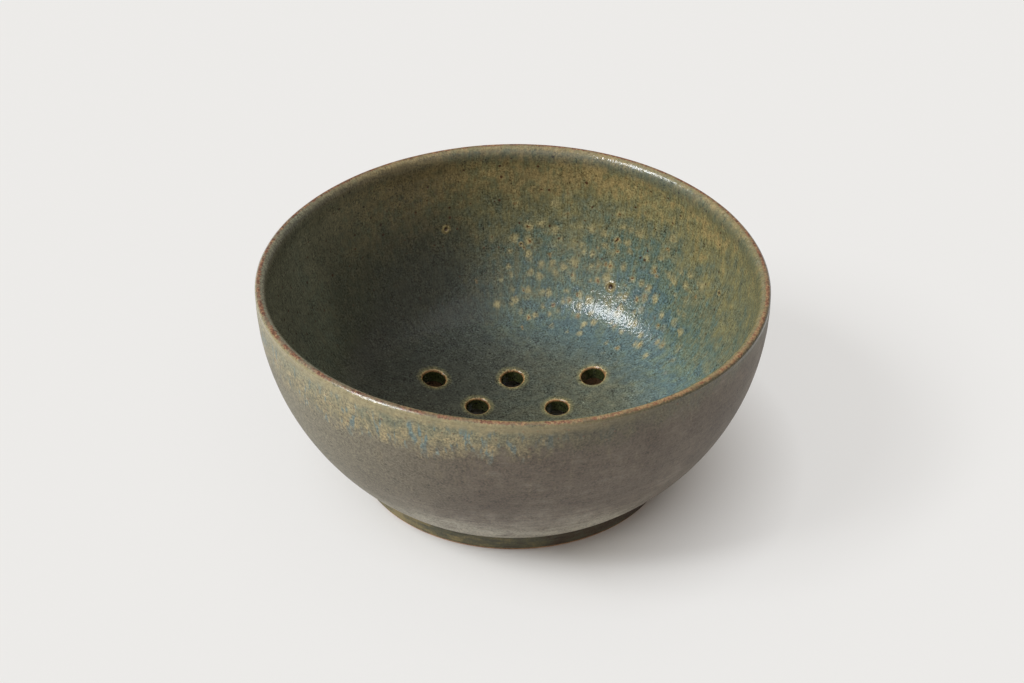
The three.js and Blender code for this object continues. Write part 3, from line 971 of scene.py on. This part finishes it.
# From the middle outwards: distance from the axis, height and way from the lip
full_out = [r for r, _ in full[::-1]]
full_height = [z for _, z in full[::-1]]
wall = [p for p in full if p[0] > FLOOR_EDGE]
wall.append((FLOOR_EDGE, float(dish(FLOOR_EDGE, 0.0, FLOOR_DISH))))
inside_wall = shaped(section_mesh(wall, way_along(wall)), (TURNED, {"Steps Around": STEPS}))
floor = pierced_floor(FLOOR_EDGE, COLLAR_RADIUS, FLOOR_SPACING, FLOOR_DISH)
round_start = HOLE_RADIUS + HOLE_ROUND
bore = (
    [(COLLAR_RADIUS + (round_start - COLLAR_RADIUS) * i / 5, 0.0) for i in range(5)]
    + arc((round_start, -HOLE_ROUND), HOLE_ROUND, UP, math.pi, 6)
    + [(HOLE_RADIUS, -HOLE_ROUND - (FLOOR_THICKNESS - HOLE_ROUND) * i / 4) for i in range(1, 5)]
)
collar_mesh = shaped(section_mesh(bore, way_along(bore)), (TURNED, {"Steps Around": HOLE_STEPS}))
collar = bpy.data.objects.new("collar", collar_mesh)
bpy.context.scene.collection.objects.link(collar)
dish_sizes = {"Collar": collar, "Dish Radius": FLOOR_DISH * MM, "Dish Centre": dish_centre[1] * MM}
collars = shaped(hole_points.data.copy(), (COLLARS, dish_sizes))

# Burst bubbles in the glaze, as (bearing in degrees, distance from the axis, half width, depth)
PITS = [
    (108.3, 74.7, 1.0, 0.3),
    (87.8, 71.9, 0.6, 0.2),
    (59.7, 67.3, 1.3, 0.34),
    (23.0, 75.2, 0.7, 0.2),
    (201.0, 72.4, 0.9, 0.28),
    (247.0, 69.3, 0.7, 0.2),
    (318.0, 74.0, 1.1, 0.3),
]
# A pit's mark fades out at this many half widths. Its rim stands this share of its depth high, on a ring at
# this many half widths, this wide.
PIT_REACH = 3.0
PIT_RIM, PIT_RIM_AT, PIT_RIM_WIDTH = 0.3, 1.1, 0.28


def pitted(mesh):
    """Sinks the pits in a mesh that is made finer round them, and marks how near each point is to one."""
    bm = bmesh.new()
    bm.from_mesh(mesh)
    places = []
    for bearing, out, half, depth in PITS:
        x, y = on_round((0.0, 0.0), out, math.radians(bearing))
        z = float(np.interp(out, full_out, full_height))
        places.append((Vector((x, y, z)) * MM, half * MM, depth * MM))
    # The mesh is cut finer within about two half widths of each pit.
    for place, half, _ in places:
        near = [f for f in bm.faces if (f.calc_center_median() - place).length < 2.2 * half + 0.8 * MM]
        edges = list({e for f in near for e in f.edges})
        bmesh.ops.subdivide_edges(bm, edges=edges, cuts=5, use_grid_fill=True)
    bm.normal_update()
    bmesh.ops.triangulate(bm, faces=[f for f in bm.faces if len(f.verts) > 4])
    nearness = np.zeros(len(bm.verts))
    moves = []
    for i, vert in enumerate(bm.verts):
        for place, half, depth in places:
            t = (vert.co - place).length / half
            if t < PIT_REACH:
                bowl = max(0.0, 1 - t * t) ** 2
                rim = PIT_RIM * math.exp(-(((t - PIT_RIM_AT) / PIT_RIM_WIDTH) ** 2))
                moves.append((vert, vert.normal * (rim - bowl) * depth))
                nearness[i] = 1 - t / PIT_REACH
    for vert, move in moves:
        vert.co += move
    bm.to_mesh(mesh)
    bm.free()
    mark(mesh, "pit", nearness)


def hand_cut_holes(mesh):
    """Makes each hole a little oval its own way, as holes cut by hand are, and marks how near each point is
    to one: 1 at the edge, and more down the bore."""
    place = points_of(mesh)
    sunk = np.clip(dish(place[:, 0], place[:, 1], FLOOR_DISH) - place[:, 2], 0, None)
    nearness = np.zeros(len(place))
    for i, (x, y) in enumerate(HOLES):
        off = place[:, :2] - (x, y)
        out = np.hypot(off[:, 0], off[:, 1])
        close = out < COLLAR_RADIUS
        turn = np.arctan2(off[close, 1], off[close, 0])
        # The oval's depth and turn go by the hole's number, and five small flats come with the cutter. It
        # fades out over the collar.
        oval = (0.025 + 0.02 * (i * 7 % 5) / 4) * np.cos(2 * turn - 1.9 * i) + 0.008 * np.cos(5 * turn + i)
        oval += HOLE_WIDENED.get(i, 0.0)
        fade = np.clip((COLLAR_RADIUS - out[close]) / (COLLAR_RADIUS - HOLE_RADIUS - 0.3), 0, 1)
        edge = out - HOLE_RADIUS - sunk
        nearness = np.where(out < HOLE_RADIUS + HALO, np.maximum(nearness, 1 - edge / HALO), nearness)
        place[close, :2] += off[close] * (oval * fade)[:, None]
    mesh.vertices.foreach_set("co", (place * MM).astype(np.float32).ravel())
    mesh.update()
    mark(mesh, "near_hole", nearness)


inside = joined(inside_wall, floor, collars)
pitted(inside)
hand_cut_holes(inside)
out = np.hypot(*points_of(inside)[:, :2].T)
mark(inside, "from_crest", -(lip_inside + np.interp(out, full_out, full_way[::-1])))
inside = shaped(inside, thrown, wall=COAT * MM)
place_piece("inside_coat", inside, poured_rutile_glaze(), "inside_glaze")

# Rim band
rim = turned_piece(lip, lip_outside - lip_way, wall=COAT * MM)
place_piece("rim_coat", rim, glaze_breaking_on_lip(), "rim_glaze")

# Outer wall, turned under in a soft curve where it overhangs the foot
side = [p for p in wall_curve(0.0, 6) if p[1] > FOOT_HEIGHT + TURN_HEIGHT]
start, pull, end = (joint_radius - TURN_WIDTH, FOOT_HEIGHT), (joint_radius, FOOT_HEIGHT), side[0]
outer = [(FOOT_RADIUS - FOOT_TUCK, FOOT_HEIGHT)]
for i in range(TURN_STEPS):
    t = i / TURN_STEPS
    r, z = ((1 - t) ** 2 * a + 2 * t * (1 - t) * b + t * t * c for a, b, c in zip(start, pull, end))
    outer.append((r, z))
outer += side
outer_way = way_along(outer)
outside = turned_piece(outer, lip_outside + outer_way[-1] - outer_way, wall=COAT * MM)
place_piece("outside_coat", outside, thin_matt_iron_glaze(), "outside_glaze")

# Foot coat and the coat under the floor
foot_side = [(FOOT_RADIUS, FOOT_BARE_EDGE + (FOOT_HEIGHT - FOOT_BARE_EDGE) * i / 8) for i in range(9)]
foot = turned_piece(foot_side, way_along(foot_side), wall=COAT * MM)
place_piece("foot_coat", foot, pooled_foot_glaze_and_shade(), "foot_glaze")
under_dish = FLOOR_DISH + FLOOR_THICKNESS
below = pierced_floor(FOOT_INNER - UNDERSIDE_GAP, HOLE_RADIUS + COAT, UNDERSIDE_SPACING, under_dish)
hand_cut_holes(below)
below.flip_normals()
underside = shaped(below, thrown, wall=COAT * MM)
place_piece("underside_coat", underside, sponged_thin_glaze(), "underside_glaze")

bpy.data.objects.remove(hole_points)
bpy.data.objects.remove(collar)

# Floor, light and camera
scene = bpy.context.scene
scene.view_settings.view_transform = "Standard"

PAPER = "#edecea"
# Half the width of the paper, in metres, and the share of its own colour that the open paper shows as a
# painted glow
PAPER_REACH = 3.0
OWN_COLOUR = 0.69


def pale_floor():
    """White paper. What the camera sees of it partly glows in its own colour, a painted light which keeps the
    wide shadow pale. Close to the foot and under the bowl there is none of that glow, so the shadow stays
    dark where the foot stands."""
    material, tree = new_material("pale_paper_floor")
    n = partial(add, tree)
    rays = n("ShaderNodeLightPath").outputs
    seen = n("ShaderNodeMath", {0: rays["Is Camera Ray"], 1: rays["Is Glossy Ray"]}, operation="ADD")
    place = n("ShaderNodeTexCoord").outputs["Object"]
    away = n("ShaderNodeVectorMath", {0: place}, operation="LENGTH").outputs["Value"]
    share = {"Value": away, "From Min": 52 * MM, "From Max": 98 * MM, "To Max": OWN_COLOUR}
    share = n("ShaderNodeMapRange", share)
    # Towards the softbox the painted glow reaches right up to the foot, so the floor stays pale there.
    lit_side = n("ShaderNodeVectorMath", {0: place, 1: direction(215)}, operation="DOT_PRODUCT")
    lit_side = lit_side.outputs["Value"]
    lit_side = {"Value": lit_side, "From Min": 15 * MM, "From Max": 60 * MM, "To Max": 0.38}
    lit_side = n("ShaderNodeMapRange", lit_side)
    open_floor = n("ShaderNodeMapRange", {"Value": away, "From Min": 50 * MM, "From Max": 53 * MM})
    share = n("ShaderNodeMath", {0: lit_side, 1: open_floor, 2: share}, operation="MULTIPLY_ADD")
    share = n("ShaderNodeMath", {0: share, 1: OWN_COLOUR}, operation="MINIMUM")
    share = n("ShaderNodeMath", {0: share, 1: seen}, operation="MULTIPLY")
    lit = n("ShaderNodeBsdfDiffuse", {"Color": linear(PAPER)})
    own = n("ShaderNodeEmission", {"Color": linear(PAPER), "Strength": 1.0})
    both = n("ShaderNodeMixShader", {0: share, 1: lit, 2: own})
    n("ShaderNodeOutputMaterial", {"Surface": both})
    return material


corners = [(x * PAPER_REACH, y * PAPER_REACH, 0.0) for x, y in ((-1, -1), (1, -1), (1, 1), (-1, 1))]
ground = bpy.data.objects.new("floor", mesh_from(corners, faces=[(0, 1, 2, 3)]))
ground.data.materials.append(pale_floor())
scene.collection.objects.link(ground)

# Each light's share of what falls on the open floor. Together they come to about one, so colours show as
# they are written.
ROOM_SHARE, BOX_SHARE, SCRIM_SHARE = 0.30, 0.46, 0.26

world = bpy.data.worlds.new("studio")
world.use_nodes = True
room = world.node_tree.nodes["Background"].inputs
room["Color"].default_value = linear("#fff2e6")
room["Strength"].default_value = ROOM_SHARE
scene.world = world


def soft_light(name, elevation, azimuth, spread, share, colour):
    """A wide soft light far away, by where it stands in degrees and its share of the floor's light."""
    up, turn = math.radians(elevation), math.radians(azimuth)
    data = bpy.data.lights.new(name, "SUN")
    data.angle = math.radians(spread)
    data.energy = share * math.pi / math.sin(up)
    data.color = linear(colour)[:3]
    lamp = bpy.data.objects.new(name, data)
    stand = Vector((math.cos(up) * math.cos(turn), math.cos(up) * math.sin(turn), math.sin(up)))
    lamp.rotation_euler = stand.to_track_quat("Z", "Y").to_euler()
    scene.collection.objects.link(lamp)


# The softbox is made up of three panels.
for panel, elevation, azimuth in (("back_panel", 46, 190), ("low_panel", 39, 204), ("high_panel", 50, 208)):
    soft_light(panel, elevation, azimuth, 12, BOX_SHARE / 3, "#f9fcff")
soft_light("overhead_scrim", 64, 225, 100, SCRIM_SHARE, "#fbfdff")

# The camera, as fitted to the edges of the bowl in the photo: place and lens in mm, turns in degrees
CAMERA_PLACE = (0.0, -704.3, 526.4)
CAMERA_DOWN, CAMERA_LEFT = 34.31, 0.03
SENSOR_WIDTH, FOCAL_LENGTH = 36.0, 91.6875

camera_data = bpy.data.cameras.new("camera")
camera_data.sensor_width = SENSOR_WIDTH
camera_data.lens = FOCAL_LENGTH
camera_data.clip_start = 0.01
camera = bpy.data.objects.new("camera", camera_data)
camera.location = Vector(CAMERA_PLACE) * MM
camera.rotation_euler = (math.radians(90 - CAMERA_DOWN), 0.0, math.radians(CAMERA_LEFT))
scene.collection.objects.link(camera)
scene.camera = camera
